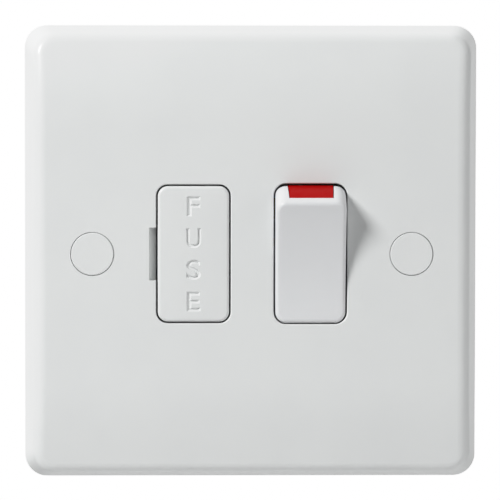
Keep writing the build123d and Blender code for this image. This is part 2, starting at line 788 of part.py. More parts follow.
# Pivot strips: each carries the fulcrum that a contact bar rocks on
for pole, route in (("live", live_link_route), ("neutral", neutral_load_route)):
    with BuildPart() as pivot_strip:
        extrude(strip_plan(route, strip_width), amount=strip_thickness)
        with BuildSketch(side_plane(poles[pole])):
            with Locations((bar_y, 0)):
                Circle(fulcrum_radius)
                Rectangle(strip_top_y - bar_y, 2 * fulcrum_radius, align=(Align.MIN, Align.CENTER))
        extrude(amount=strip_width / 2, both=True)
    pivot_strip.part.label = f"{pole}_pivot_strip"
    export_step(pivot_strip.part, f"parts/{pole}_pivot_strip.step")

with BuildPart() as load_live_strip:
    extrude(strip_plan(live_load_route, strip_width), amount=strip_thickness)
load_live_strip.part.label = "load_live_strip"
export_step(load_live_strip.part, "parts/load_live_strip.step")

# Fork contacts that grip the fuse's end caps
fork_half = fuse_cap_radius + fork_gap + fork_thickness / 2
fork_foot_y = strip_top_y - fork_thickness / 2
fork_mouth_y = fuse_y - fork_grip
for end, end_name in ((1, "upper"), (-1, "lower")):
    with BuildPart() as fuse_fork:
        with BuildSketch(Plane.XY.offset(end * fork_z)):
            with BuildLine():
                FilletPolyline(
                    (fuse_x - fork_half - fork_flare, fork_mouth_y - fork_mouth),
                    (fuse_x - fork_half, fork_mouth_y),
                    (fuse_x - fork_half, fork_foot_y),
                    (fuse_x + fork_half, fork_foot_y),
                    (fuse_x + fork_half, fork_mouth_y),
                    (fuse_x + fork_half + fork_flare, fork_mouth_y - fork_mouth),
                    radius=fork_bend,
                )
            trace(line_width=fork_thickness)
        extrude(amount=fork_length / 2, both=True)
    fuse_fork.part.label = f"{end_name}_fuse_fork"
    export_step(fuse_fork.part, f"parts/{end_name}_fuse_fork.step")

# Cartridge fuse: a ceramic barrel in two plated end caps
with BuildPart() as fuse_barrel:
    with BuildSketch(Plane.XY):
        with Locations((fuse_x, fuse_y)):
            Circle(fuse_barrel_radius)
    extrude(amount=fuse_length / 2 - fuse_cap_wall - fuse_fit, both=True)
fuse_barrel.part.label = "fuse_barrel"
export_step(fuse_barrel.part, "parts/fuse_barrel.step")

with BuildPart() as fuse_end_caps:
    with BuildSketch(Plane.XY.offset(fuse_length / 2)):
        with Locations((fuse_x, fuse_y)):
            Circle(fuse_cap_radius)
    extrude(amount=-fuse_cap_length)
    chamfer(fuse_end_caps.faces().sort_by(Axis.Z)[-1].edges(), 2 * fuse_cap_wall)
    with BuildSketch(Plane.XY.offset(fuse_length / 2 - fuse_cap_wall)):
        with Locations((fuse_x, fuse_y)):
            Circle(fuse_barrel_radius + fuse_fit)
    extrude(amount=-fuse_cap_length, mode=Mode.SUBTRACT)
    mirror(about=Plane.XY)
fuse_end_caps.part.label = "fuse_end_caps"
export_step(fuse_end_caps.part, "parts/fuse_end_caps.step")

# Fuse carrier: a flush face with guide legs, and a cradle that holds the barrel
leg_inner = carrier_width / 2 - carrier_wall
skirt_half = carrier_height / 2 - carrier_skirt_inset - carrier_corner_radius
with BuildPart() as fuse_carrier:
    with BuildSketch(front_plane(carrier_back_y)):
        with Locations((fuse_x, 0)):
            RectangleRounded(carrier_width, carrier_height, carrier_corner_radius)
    extrude(amount=carrier_face)
    fillet(fuse_carrier.faces().sort_by(Axis.Y)[0].edges(), carrier_edge_radius)
    # Side skirts that run on into the legs
    for side in (-1, 1):
        with BuildSketch(side_plane(fuse_x + side * leg_inner)):
            with Locations((carrier_back_y, 0)):
                Rectangle(carrier_skirt, 2 * skirt_half, align=(Align.MIN, Align.CENTER))
                Rectangle(
                    carrier_leg_end_y - carrier_back_y,
                    2 * carrier_leg_half,
                    align=(Align.MIN, Align.CENTER),
                )
        extrude(amount=side * carrier_wall)
        # Hooks at the legs' ends, which catch behind the plate
        with BuildSketch(Plane.XY):
            with BuildLine():
                Polyline(
                    (fuse_x + side * carrier_width / 2, carrier_leg_end_y - hook_length),
                    (fuse_x + side * (carrier_width / 2 + hook_reach), carrier_leg_end_y - hook_length),
                    (fuse_x + side * carrier_width / 2, carrier_leg_end_y),
                    (fuse_x + side * leg_inner, carrier_leg_end_y),
                    (fuse_x + side * leg_inner, carrier_leg_end_y - hook_length),
                    close=True,
                )
            make_face()
        extrude(amount=carrier_leg_half, both=True)
    # Cradle that reaches past the barrel's middle to hold it
    with BuildSketch(Plane.XY):
        with Locations((fuse_x, carrier_back_y)):
            Rectangle(
                2 * leg_inner,
                fuse_y + cradle_grip - carrier_back_y,
                align=(Align.CENTER, Align.MIN),
            )
        with Locations((fuse_x, fuse_y)):
            Circle(fuse_barrel_radius + cradle_clearance, mode=Mode.SUBTRACT)
    extrude(amount=cradle_half_length, both=True)
    # Groove under the face's edge for the screwdriver
    with BuildSketch(Plane.XY):
        with Locations((fuse_x - carrier_width / 2, front_y + pry_lip)):
            Rectangle(2 * pry_groove_depth, pry_groove, align=(Align.CENTER, Align.MIN))
    extrude(amount=notch_length / 2, both=True, mode=Mode.SUBTRACT)
fuse_carrier.part.label = "fuse_carrier"
export_step(fuse_carrier.part, "parts/fuse_carrier.step")

# Pillar terminals: blocks with a conductor bore from the outer end and a clamp screw from behind
for row_name, row in rows.items():
    for pole, place_x in terminal_places.items():
        with BuildPart() as terminal:
            with BuildSketch(front_plane(bay_floor_y)):
                with Locations((place_x, row * terminal_z)):
                    Rectangle(terminal_width, terminal_length)
            extrude(amount=bay_floor_y - terminal_back_y)
            chamfer(terminal.edges().filter_by(Axis.Y), terminal_chamfer)
            with Locations(
                Plane(
                    origin=(place_x, conductor_y, row * terminal_outer_z),
                    x_dir=(1, 0, 0),
                    z_dir=(0, 0, row),
                )
            ):
                Hole(conductor_radius, depth=conductor_depth)
            with Locations(
                Plane(origin=(place_x, terminal_back_y, row * terminal_z), x_dir=(1, 0, 0), z_dir=(0, 1, 0))
            ):
                Hole(clamp_screw_radius + clamp_screw_clearance, depth=terminal_back_y - conductor_y)
            if pole in tail_places:
                with BuildSketch(front_plane(floor_y + moulding_fit / 2)):
                    with Locations((tail_places[pole], row * row_inner_z)):
                        Rectangle(strip_width + moulding_fit, 2 * (tail_length + moulding_fit))
                extrude(amount=strip_thickness + moulding_fit, mode=Mode.SUBTRACT)
        terminal.part.label = f"{row_name}_{pole}_terminal"
        export_step(terminal.part, f"parts/{row_name}_{pole}_terminal.step")

# Clamp screws, backed out to leave the conductor bores clear
clamp_head_y = terminal_back_y + clamp_backed_out
clamp_tip_y = conductor_y + conductor_radius + clamp_tip_gap
with BuildPart() as terminal_screws:
    with BuildSketch(front_plane(clamp_head_y)):
        with GridLocations(terminal_pitch, 2 * terminal_z, 3, 2):
            Circle(clamp_head_radius)
    extrude(amount=-clamp_head_height)
    chamfer(terminal_screws.faces().filter_by(Axis.Y).group_by(Axis.Y)[-1].edges(), clamp_head_height / 5)
    with BuildSketch(front_plane(clamp_head_y)):
        with GridLocations(terminal_pitch, 2 * terminal_z, 3, 2):
            Circle(clamp_screw_radius)
    extrude(amount=clamp_head_y - clamp_tip_y)
    with BuildSketch(front_plane(clamp_head_y + clamp_head_height)):
        with GridLocations(terminal_pitch, 2 * terminal_z, 3, 2):
            Rectangle(3 * clamp_head_radius, screw_slot_width)
    extrude(amount=screw_slot_depth, mode=Mode.SUBTRACT)
terminal_screws.part.label = "terminal_screws"
export_step(terminal_screws.part, "parts/terminal_screws.step")

# Earth strap across the back, from one earth terminal to the other
with BuildPart() as earth_strap:
    with BuildSketch(front_plane(central_back_y)):
        with Locations((earth_x, 0)):
            Rectangle(earth_strap_width, 2 * row_inner_z)
    extrude(amount=-earth_strap_thickness)
earth_strap.part.label = "earth_strap"
export_step(earth_strap.part, "parts/earth_strap.step")
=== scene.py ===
import logging
import math
from dataclasses import dataclass
from enum import Enum
from typing import Any, Callable, Dict, List, Optional, Sequence, Tuple, Union

import bpy
from mathutils import Euler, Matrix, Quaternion, Vector


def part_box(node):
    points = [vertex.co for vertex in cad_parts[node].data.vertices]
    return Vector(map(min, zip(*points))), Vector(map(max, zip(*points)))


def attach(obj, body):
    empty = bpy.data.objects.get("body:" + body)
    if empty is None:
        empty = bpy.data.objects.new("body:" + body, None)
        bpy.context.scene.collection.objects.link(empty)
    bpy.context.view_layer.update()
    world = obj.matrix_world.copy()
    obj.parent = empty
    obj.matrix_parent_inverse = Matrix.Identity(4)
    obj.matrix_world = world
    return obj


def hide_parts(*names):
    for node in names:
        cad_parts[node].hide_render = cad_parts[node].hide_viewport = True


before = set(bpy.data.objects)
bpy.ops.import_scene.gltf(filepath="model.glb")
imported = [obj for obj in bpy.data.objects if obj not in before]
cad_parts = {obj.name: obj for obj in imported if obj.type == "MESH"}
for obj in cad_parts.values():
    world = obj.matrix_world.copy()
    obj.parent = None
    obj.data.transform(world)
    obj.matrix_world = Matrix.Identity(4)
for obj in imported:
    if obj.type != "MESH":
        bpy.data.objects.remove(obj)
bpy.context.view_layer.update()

# A switched fused connection unit. The frame is in metres: X to the right as the face is seen,
# Y back into the wall, Z up. The plate's rear rim lies on Y = 0.

MM = 0.001
LOG = logging.getLogger("fused_spur_unit")

MERGE_REACH = 1e-6
NOISE_MEAN = 0.5

Colour = Tuple[float, float, float]
Point = Tuple[float, float, float]
Span = Tuple[float, float]


class Slot(str, Enum):
    """The names of the record's material slots."""

    WHITE = "white_moulding"
    HOUSING = "housing_moulding"
    STEEL = "plated_steel"


class Body(str, Enum):
    """The bodies that new pieces ride on."""

    UNIT = "unit"
    DRAWER = "fuse_drawer"


class Facing(Enum):
    """Which way lettering faces, as the turn that stands it up on its surface."""

    FRONT = (math.pi / 2, 0.0, 0.0)
    REAR = (math.pi / 2, 0.0, math.pi)


class Signal:
    """A value in a material's graph. Arithmetic on it adds Math nodes."""

    def __init__(self, graph: "Graph", socket: bpy.types.NodeSocket) -> None:
        """Keep the graph and the output socket that carries the value."""
        self.graph = graph
        self.socket = socket

    def _math(self, operation: str, first: "Operand", second: "Operand") -> "Signal":
        """Add one Math node.

        Args:
            operation: Blender's name for the operation.
            first: The first operand, a value or a number.
            second: The second operand, a value or a number.

        Returns:
            The node's result.
        """
        return self.graph.node("ShaderNodeMath", {"operation": operation}, {0: first, 1: second})

    def __add__(self, other: "Operand") -> "Signal":
        """Add a value or a number."""
        return self._math("ADD", self, other)

    def __radd__(self, other: "Operand") -> "Signal":
        """Add to a number."""
        return self._math("ADD", other, self)

    def __sub__(self, other: "Operand") -> "Signal":
        """Take a value or a number away."""
        return self._math("SUBTRACT", self, other)

    def __mul__(self, other: "Operand") -> "Signal":
        """Multiply by a value or a number."""
        return self._math("MULTIPLY", self, other)


Operand = Union[Signal, float]


class Graph:
    """A node tree, cleared and built again."""

    def __init__(self, tree: bpy.types.NodeTree) -> None:
        """Clear the tree of a material or a world."""
        self.tree = tree
        self.tree.nodes.clear()

    def node(
        self,
        kind: str,
        settings: Optional[Dict[str, Any]] = None,
        inputs: Optional[Dict[Union[int, str], Any]] = None,
        output: Union[int, str] = 0,
    ) -> Signal:
        """Add a node, set it up and feed its sockets.

        Args:
            kind: The node's type.
            settings: Its properties, set first.
            inputs: Values or links for its sockets, by index or name.
            output: The socket to give back.

        Returns:
            The chosen output of the node.
        """
        made = self.tree.nodes.new(kind)
        for key, value in (settings or {}).items():
            setattr(made, key, value)
        for key, value in (inputs or {}).items():
            if isinstance(value, Signal):
                self.tree.links.new(value.socket, made.inputs[key])
            else:
                made.inputs[key].default_value = value
        return Signal(self, made.outputs[output])

    def end(self, kind: str, surface: bpy.types.NodeSocket) -> None:
        """Add the tree's output node and feed its surface."""
        self.tree.links.new(surface, self.tree.nodes.new(kind).inputs["Surface"])

    def spread(self, value: Signal, low: float, high: float) -> Signal:
        """Stretch part of a value's range to zero and one.

        Args:
            value: The value to stretch.
            low: What becomes zero.
            high: What becomes one.

        Returns:
            The stretched value, held between zero and one.
        """
        return self.node(
            "ShaderNodeMapRange",
            {"clamp": True, "interpolation_type": "SMOOTHSTEP"},
            {"Value": value, "From Min": low, "From Max": high},
        )


class Surface(Graph):
    """A material's node graph with one Principled shader."""

    def __init__(self, name: str) -> None:
        """Make an empty material of this name with a shader and an output."""
        self.material = bpy.data.materials.new(name)
        self.material.use_nodes = True
        super().__init__(self.material.node_tree)
        self.place: Optional[Signal] = None
        self.shader = self.tree.nodes.new("ShaderNodeBsdfPrincipled")
        self.end("ShaderNodeOutputMaterial", self.shader.outputs["BSDF"])

    def noise(self, scale: float, detail: float = 2.0, stretch: Point = (1.0, 1.0, 1.0)) -> Signal:
        """Add noise on object coordinates.

        Args:
            scale: Features per metre.
            detail: How many finer layers it has.
            stretch: Scale along each axis, for streaks.

        Returns:
            The noise, about one half on average.
        """
        if self.place is None:
            self.place = self.node("ShaderNodeTexCoord", output="Object")
        spot = self.node(
            "ShaderNodeMapping", {"vector_type": "POINT"}, {"Vector": self.place, "Scale": stretch}
        )
        return self.node("ShaderNodeTexNoise", {}, {"Vector": spot, "Scale": scale, "Detail": detail})

    def mix(self, amount: Operand, first: Colour, second: Colour) -> Signal:
        """Mix two colours.

        Args:
            amount: The share of the second colour.
            first: The first colour.
            second: The second colour.

        Returns:
            The mixed colour.
        """
        ends = {6: (*first, 1.0), 7: (*second, 1.0)}
        return self.node("ShaderNodeMix", {"data_type": "RGBA"}, {0: amount, **ends}, 2)

    def bump(self, height: Signal, strength: float, distance: float) -> None:
        """Roughen the surface.

        Args:
            height: The height, from zero to one.
            strength: How far the bump is followed.
            distance: The height of one, in metres.
        """
        normal = self.node(
            "ShaderNodeBump", {}, {"Height": height, "Strength": strength, "Distance": distance}, "Normal"
        )
        self.feed("Normal", normal)

    def feed(self, socket: str, value: Any) -> None:
        """Feed one of the shader's sockets with a value or a link."""
        if isinstance(value, Signal):
            self.tree.links.new(value.socket, self.shader.inputs[socket])
        else:
            self.shader.inputs[socket].default_value = value


@dataclass(frozen=True)
class Moulding:
    """A moulded plastic: slow unevenness of tone, a fine skin and some handling dust."""

    name: str
    colour: Colour
    shade: Colour
    roughness: float
    roughness_spread: float
    skin: float
    skin_scale: float
    skin_height: float
    specular: float = 0.5
    cloud_scale: float = 55.0
    cloud_edges: Span = (0.35, 0.65)
    smear_scale: float = 180.0
    smear_stretch: Point = (1.0, 1.0, 0.45)

    def material(self) -> bpy.types.Material:
        """Build the material.

        Returns:
            The finished material.
        """
        graph = Surface(self.name)
        slow = graph.spread(graph.noise(self.cloud_scale, 3.0), *self.cloud_edges)
        fine = graph.noise(self.skin_scale, 3.0)
        smear = graph.noise(self.smear_scale, 4.0, self.smear_stretch)
        graph.feed("Base Color", graph.mix(slow, self.colour, self.shade))
        graph.feed("Roughness", self.roughness + (smear - NOISE_MEAN) * self.roughness_spread)
        graph.feed("Specular IOR Level", self.specular)
        graph.bump(fine, self.skin, self.skin_height)
        return graph.material


@dataclass(frozen=True)
class Metal:
    """A worked metal: rolling streaks, stains and small scratches."""

    name: str
    colour: Colour
    stain: Colour
    stain_share: float
    roughness: float
    roughness_spread: float
    streaks: Point
    streak_height: float
    streak_scale: float = 900.0
    streak_bump: float = 0.35
    stain_scale: float = 240.0
    stain_edges: Span = (0.42, 0.72)
    stain_roughness: float = 0.08

    def material(self) -> bpy.types.Material:
        """Build the material.

        Returns:
            The finished material.
        """
        graph = Surface(self.name)
        streak = graph.noise(self.streak_scale, 3.0, self.streaks)
        cloud = graph.spread(graph.noise(self.stain_scale, 4.0), *self.stain_edges)
        graph.feed("Base Color", graph.mix(cloud * self.stain_share, self.colour, self.stain))
        graph.feed("Metallic", 1.0)
        wear = (streak - NOISE_MEAN) * self.roughness_spread + cloud * self.stain_roughness
        graph.feed("Roughness", self.roughness + wear)
        graph.bump(streak, self.streak_bump, self.streak_height)
        return graph.material


@dataclass(frozen=True)
class Ceramic:
    """An unglazed fired body with specks and a dry, even skin."""

    name: str
    colour: Colour
    speck: Colour
    roughness: float
    roughness_spread: float = 0.2
    speck_scale: float = 2600.0
    speck_edges: Span = (0.66, 0.74)
    speck_share: float = 0.6
    skin: float = 0.4
    skin_scale: float = 5200.0
    skin_height: float = 0.00002

    def material(self) -> bpy.types.Material:
        """Build the material.

        Returns:
            The finished material.
        """
        graph = Surface(self.name)
        specks = graph.spread(graph.noise(self.speck_scale), *self.speck_edges)
        skin = graph.noise(self.skin_scale, 3.0)
        graph.feed("Base Color", graph.mix(specks * self.speck_share, self.colour, self.speck))
        graph.feed("Roughness", self.roughness + (skin - NOISE_MEAN) * self.roughness_spread)
        graph.bump(skin, self.skin, self.skin_height)
        return graph.material


class Finish(Enum):
    """Every finish on the unit."""

    WHITE = Moulding(
        "white_gloss_moulding", (0.80, 0.815, 0.81), (0.785, 0.80, 0.797),
        0.30, 0.05, 0.12, 2600.0, 0.00001,
    )
    ROCKER = Moulding(
        "rocker_gloss_moulding", (0.79, 0.80, 0.81), (0.775, 0.785, 0.797),
        0.30, 0.05, 0.10, 2600.0, 0.00001,
    )
    HOUSING = Moulding(
        "housing_satin_moulding", (0.74, 0.74, 0.72), (0.70, 0.70, 0.675),
        0.45, 0.16, 0.30, 3400.0, 0.00002,
    )
    RED = Moulding(
        "red_insert_moulding", (0.44, 0.003, 0.003), (0.415, 0.003, 0.003),
        0.50, 0.08, 0.15, 2600.0, 0.00001, specular=0.1,
    )
    NYLON = Moulding(
        "natural_nylon", (0.62, 0.58, 0.47), (0.56, 0.52, 0.41),
        0.42, 0.14, 0.25, 3000.0, 0.00002,
    )
    BRASS = Metal(
        "rolled_brass", (0.72, 0.50, 0.20), (0.42, 0.25, 0.09),
        0.55, 0.28, 0.22, (1.0, 1.0, 0.06), 0.000012,
    )
    STEEL = Metal(
        "zinc_plated_steel", (0.66, 0.67, 0.66), (0.48, 0.46, 0.40),
        0.35, 0.30, 0.20, (0.3, 1.0, 0.3), 0.00001,
    )
    SILVER = Metal(
        "silver_contact", (0.82, 0.81, 0.78), (0.58, 0.54, 0.46),
        0.40, 0.24, 0.16, (1.0, 1.0, 1.0), 0.000008,
    )
    NICKEL = Metal(
        "nickel_plating", (0.70, 0.68, 0.63), (0.50, 0.46, 0.39),
        0.35, 0.20, 0.16, (1.0, 1.0, 0.1), 0.000008,
    )
    CERAMIC = Ceramic("fuse_ceramic_body", (0.72, 0.67, 0.57), (0.45, 0.40, 0.32), 0.62)


class Paintbox:
    """Makes each finish once and puts it on nodes and pieces."""

    def __init__(self) -> None:
        """Start with no material made."""
        self.made: Dict[Finish, bpy.types.Material] = {}

    def coat(self, obj: bpy.types.Object, finish: Finish) -> None:
        """Give an object one finish all over.

        Args:
            obj: The node or piece to coat.
            finish: The finish it gets.
        """
        if finish not in self.made:
            self.made[finish] = finish.value.material()
        obj.data.materials.clear()
        obj.data.materials.append(self.made[finish])

    def coat_nodes(self, names: Sequence[str], finish: Finish) -> None:
        """Coat CAD nodes and log each of them.

        Args:
            names: The nodes' names.
            finish: The finish they get.
        """
        for name in names:
            self.coat(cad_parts[name], finish)
            LOG.info("dressed %s in %s", name, finish.value.name)


class Bench:
    """Mesh work by Blender's operators on one object at a time."""

    @staticmethod
    def pick(obj: bpy.types.Object) -> bpy.types.Object:
        """Select one object alone and make it active."""
        bpy.ops.object.select_all(action="DESELECT")
        obj.select_set(True)
        bpy.context.view_layer.objects.active = obj
        return obj

    @staticmethod
    def added(name: str) -> bpy.types.Object:
        """Name the object that an operator has just added, and pick it alone."""
        obj = bpy.context.view_layer.objects.active
        obj.name = name
        obj.data.name = name
        return Bench.pick(obj)

    @staticmethod
    def settle(obj: bpy.types.Object) -> None:
        """Apply an object's place, turn and size to its mesh."""
        Bench.pick(obj)
        bpy.ops.object.transform_apply(location=True, rotation=True, scale=True)

    @staticmethod
    def edit(obj: bpy.types.Object, mode: str = "FACE") -> None:
        """Open an object in edit mode with nothing selected."""
        Bench.pick(obj)
        bpy.ops.object.mode_set(mode="EDIT")
        bpy.ops.mesh.select_mode(type=mode)
        bpy.ops.mesh.select_all(action="DESELECT")

    @staticmethod
    def choose_points(obj: bpy.types.Object, wanted: Callable[[Vector], bool]) -> None:
        """Open an object in edit mode with chosen points selected.

        Args:
            obj: The object.
            wanted: Says of a point's place whether it is chosen.
        """
        Bench.edit(obj, "VERT")
        Bench.close()
        for point in obj.data.vertices:
            point.select = wanted(point.co)
        bpy.ops.object.mode_set(mode="EDIT")

    @staticmethod
    def close() -> None:
        """Leave edit mode."""
        bpy.ops.object.mode_set(mode="OBJECT")

    @staticmethod
    def mend(obj: bpy.types.Object, reach: float = MERGE_REACH) -> None:
        """Merge doubled points and turn the faces outwards.

        Args:
            obj: The object.
            reach: How close points merge, in metres.
        """
        Bench.edit(obj)
        bpy.ops.mesh.select_all(action="SELECT")
        bpy.ops.mesh.remove_doubles(threshold=reach)
        bpy.ops.mesh.normals_make_consistent(inside=False)
        Bench.close()

    @staticmethod
    def smooth(obj: bpy.types.Object, angle: float = 30.0) -> None:
        """Shade smooth across edges flatter than an angle in degrees."""
        Bench.pick(obj)
        bpy.ops.object.shade_smooth_by_angle(angle=math.radians(angle))

    @staticmethod
    def combine(obj: bpy.types.Object, tool: bpy.types.Object, operation: str) -> None:
        """Cut or join with another closed mesh, which is used up.

        Args:
            obj: The object that changes.
            tool: The closed mesh to use.
            operation: DIFFERENCE or UNION.
        """
        Bench.pick(obj)
        cut = obj.modifiers.new("combine", "BOOLEAN")
        cut.operation = operation
        cut.solver = "EXACT"
        cut.object = tool
        bpy.ops.object.modifier_apply(modifier=cut.name)
        bpy.data.objects.remove(tool)

    @staticmethod
    def twin(node: str, name: str) -> bpy.types.Object:
        """Copy a CAD node's mesh into a new object with merged points.

        Args:
            node: The node's name.
            name: The new piece's name.

        Returns:
            The new object.
        """
        obj = bpy.data.objects.new(name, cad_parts[node].data.copy())
        obj.data.name = name
        bpy.context.scene.collection.objects.link(obj)
        Bench.pick(obj)
        bpy.ops.mesh.customdata_custom_splitnormals_clear()
        Bench.edit(obj)
        bpy.ops.mesh.select_all(action="SELECT")
        bpy.ops.mesh.remove_doubles(threshold=MERGE_REACH)
        Bench.close()
        return obj

    @staticmethod
    def copy(obj: bpy.types.Object, name: str, shift: Point) -> bpy.types.Object:
        """Copy a piece with its own mesh and move the copy's mesh.

        Args:
            obj: The piece to copy.
            name: The copy's name.
            shift: How far the copy is moved, in metres.

        Returns:
            The copy.
        """
        Bench.pick(obj)
        bpy.ops.object.duplicate(linked=False)
        twin = Bench.added(name)
        twin.location = shift
        Bench.settle(twin)
        return twin


@dataclass
class Lettering:
    """Block capitals of a set size, as closed solids."""

    height: float
    depth: float
    width: Optional[float] = None
    boldness: float = 0.0
    slope: float = 0.0
    curve_steps: int = 6
    merge_reach: float = 1e-5

    def solid(self, words: str, name: str, centre: Point, facing: Facing) -> bpy.types.Object:
        """Make a word as a solid centred on a point.

        Args:
            words: The letters.
            name: The object's name.
            centre: The middle of the letters, at half their depth.
            facing: Which way they are read from.

        Returns:
            The solid.
        """
        bpy.ops.object.select_all(action="DESELECT")
        bpy.ops.object.text_add(location=(0, 0, 0))
        text = bpy.context.view_layer.objects.active
        text.data.body = words
        text.data.offset = self.boldness
        text.data.resolution_u = self.curve_steps
        text.data.extrude = 0.0 if self.slope else 0.5
        text.data.bevel_depth = self.slope
        text.data.bevel_resolution = 0
        Bench.pick(text)
        bpy.ops.object.convert(target="MESH")
        text = Bench.added(name)
        Bench.mend(text, self.merge_reach)
        corners = [Vector(v.co) for v in text.data.vertices]
        low = Vector(map(min, zip(*corners)))
        high = Vector(map(max, zip(*corners)))
        span = high - low
        tall = self.height / span.y
        wide = self.width / span.x if self.width else tall
        bpy.ops.object.mode_set(mode="EDIT")
        bpy.ops.mesh.select_all(action="SELECT")
        bpy.ops.transform.translate(value=-(low + high) / 2)
        Bench.close()
        text.scale = (wide, tall, self.depth / span.z)
        text.rotation_euler = Euler(facing.value)
        text.location = centre
        Bench.settle(text)
        return text


@dataclass
class FrontPlate:
    """The square plate and its two screw caps."""

    nodes: Tuple[str, ...] = ("front_plate", "left_screw_cap", "right_screw_cap")

    def dress(self, paint: Paintbox) -> None:
        """Give the plate and the caps their gloss white moulding."""
        paint.coat_nodes(self.nodes, Finish.WHITE)


@dataclass
class FuseCarrier:
    """The pull-out fuse carrier, with its word cut down the face, and the fuse in it."""

    letters: Tuple[Tuple[str, float], ...] = (
        ("F", 2.6 * MM), ("U", 2.85 * MM), ("S", 2.8 * MM), ("E", 2.6 * MM)
    )
    letter_height: float = 3.8 * MM
    letter_pitch: float = 6.0 * MM
    cut_depth: float = 0.33 * MM
    boldness: float = -0.02
    slope: float = 0.05

    def build(self, paint: Paintbox) -> bpy.types.Object:
        """Cut the letters into a copy of the carrier.

        Args:
            paint: The finishes.

        Returns:
            The finished carrier.
        """
        carrier = Bench.twin("fuse_carrier", "engraved_fuse_carrier")
        low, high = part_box("fuse_carrier")
        face_x = (low.x + high.x) / 2
        for index, (letter, width) in enumerate(self.letters):
            style = Lettering(self.letter_height, 2 * self.cut_depth, width, self.boldness, self.slope)
            z = self.letter_pitch * ((len(self.letters) - 1) / 2 - index)
            cutter = style.solid(letter, f"cut_{letter}", (face_x, low.y, z), Facing.FRONT)
            Bench.combine(carrier, cutter, "DIFFERENCE")
        Bench.smooth(carrier)
        paint.coat(carrier, Finish.WHITE)
        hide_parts("fuse_carrier")
        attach(carrier, Body.DRAWER.value)
        LOG.info("built %s", carrier.name)
        return carrier

    def dress(self, paint: Paintbox) -> None:
        """Give the fuse and its forks their finishes."""
        paint.coat_nodes(["fuse_barrel"], Finish.CERAMIC)
        paint.coat_nodes(["fuse_end_caps"], Finish.NICKEL)
        paint.coat_nodes(["upper_fuse_fork", "lower_fuse_fork"], Finish.BRASS)


@dataclass
class Switch:
    """The rocker, its red insert and the contacts that it works."""

    poles: Tuple[str, ...] = ("live", "neutral")

    def dress(self, paint: Paintbox) -> None:
        """Give the rocker and the contacts their finishes."""
        paint.coat_nodes(["rocker"], Finish.ROCKER)
        paint.coat_nodes(["rocker_flash"], Finish.RED)
        for pole in self.poles:
            paint.coat_nodes([f"{pole}_plunger"], Finish.NYLON)
            paint.coat_nodes([f"{pole}_plunger_spring"], Finish.STEEL)
            paint.coat_nodes([f"{pole}_moving_tip"], Finish.SILVER)
            strips = ("contact_bar", "fixed_contact", "pivot_strip")
            paint.coat_nodes([f"{pole}_{strip}" for strip in strips], Finish.BRASS)
        paint.coat_nodes(["fixed_contact_tips"], Finish.SILVER)
        paint.coat_nodes(["load_live_strip"], Finish.BRASS)


